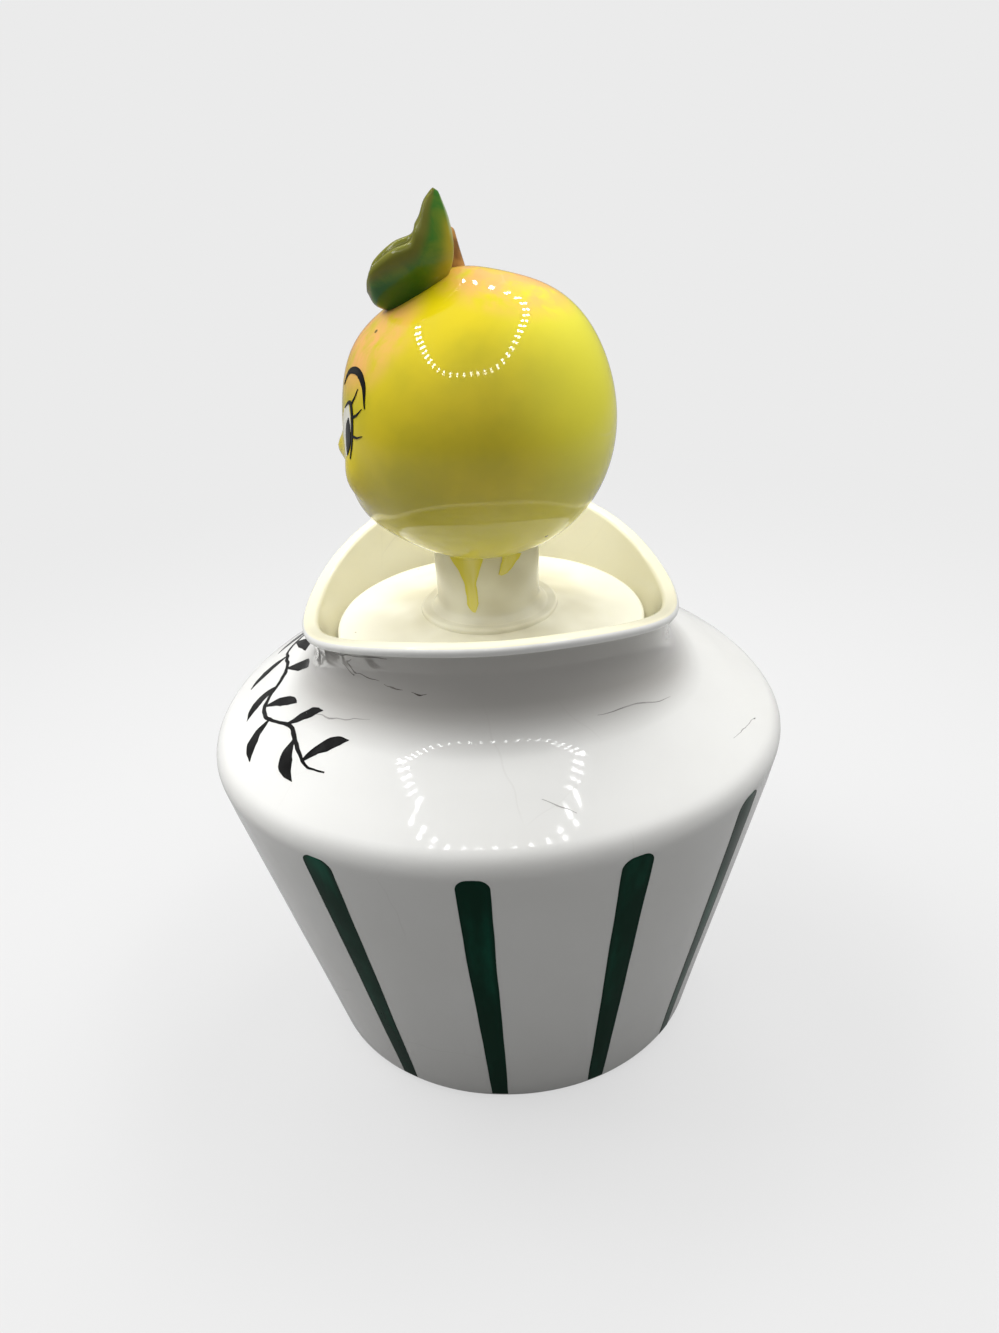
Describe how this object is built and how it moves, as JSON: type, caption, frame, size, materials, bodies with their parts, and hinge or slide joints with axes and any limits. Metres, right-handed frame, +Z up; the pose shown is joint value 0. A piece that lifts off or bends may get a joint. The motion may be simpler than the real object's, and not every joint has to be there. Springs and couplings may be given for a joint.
{
  "type": "jam pot",
  "caption": "Lidded jam pot of white glazed earthenware with painted stripes, a flared collar that dips front and back, and a lift-off lid with a leafy yellow fruit for a knob.",
  "frame": {"origin": "centre of the foot, on the surface that the pot stands on", "axes": "+Z up along the pot's axis, -Y the way the fruit's face looks, +X to the side with the leaf"},
  "size_m": [0.0922, 0.0922, 0.1374],
  "materials": {
    "white_glaze": "glossy white glaze with dark green brushed stripes",
    "cream_glaze": "glossy cream glaze",
    "yellow_glaze": "glossy yellow glaze with a blush at the crown",
    "brown_glaze": "glossy orange-brown glaze",
    "green_glaze": "glossy leaf-green glaze, lighter at the edges"
  },
  "bodies": {
    "pot": {"pot_body": "white_glaze"},
    "lid": {"lid_plate": "cream_glaze", "lid_neck": "cream_glaze", "fruit_head": "yellow_glaze", "fruit_stalk": "brown_glaze", "fruit_leaf": "green_glaze"}
  },
  "joints": [
    {"name": "lid_lift", "type": "slide", "parent": "pot", "child": "lid", "axis": [0, 0, 1], "range_m": [0, 0.06]}
  ]
}
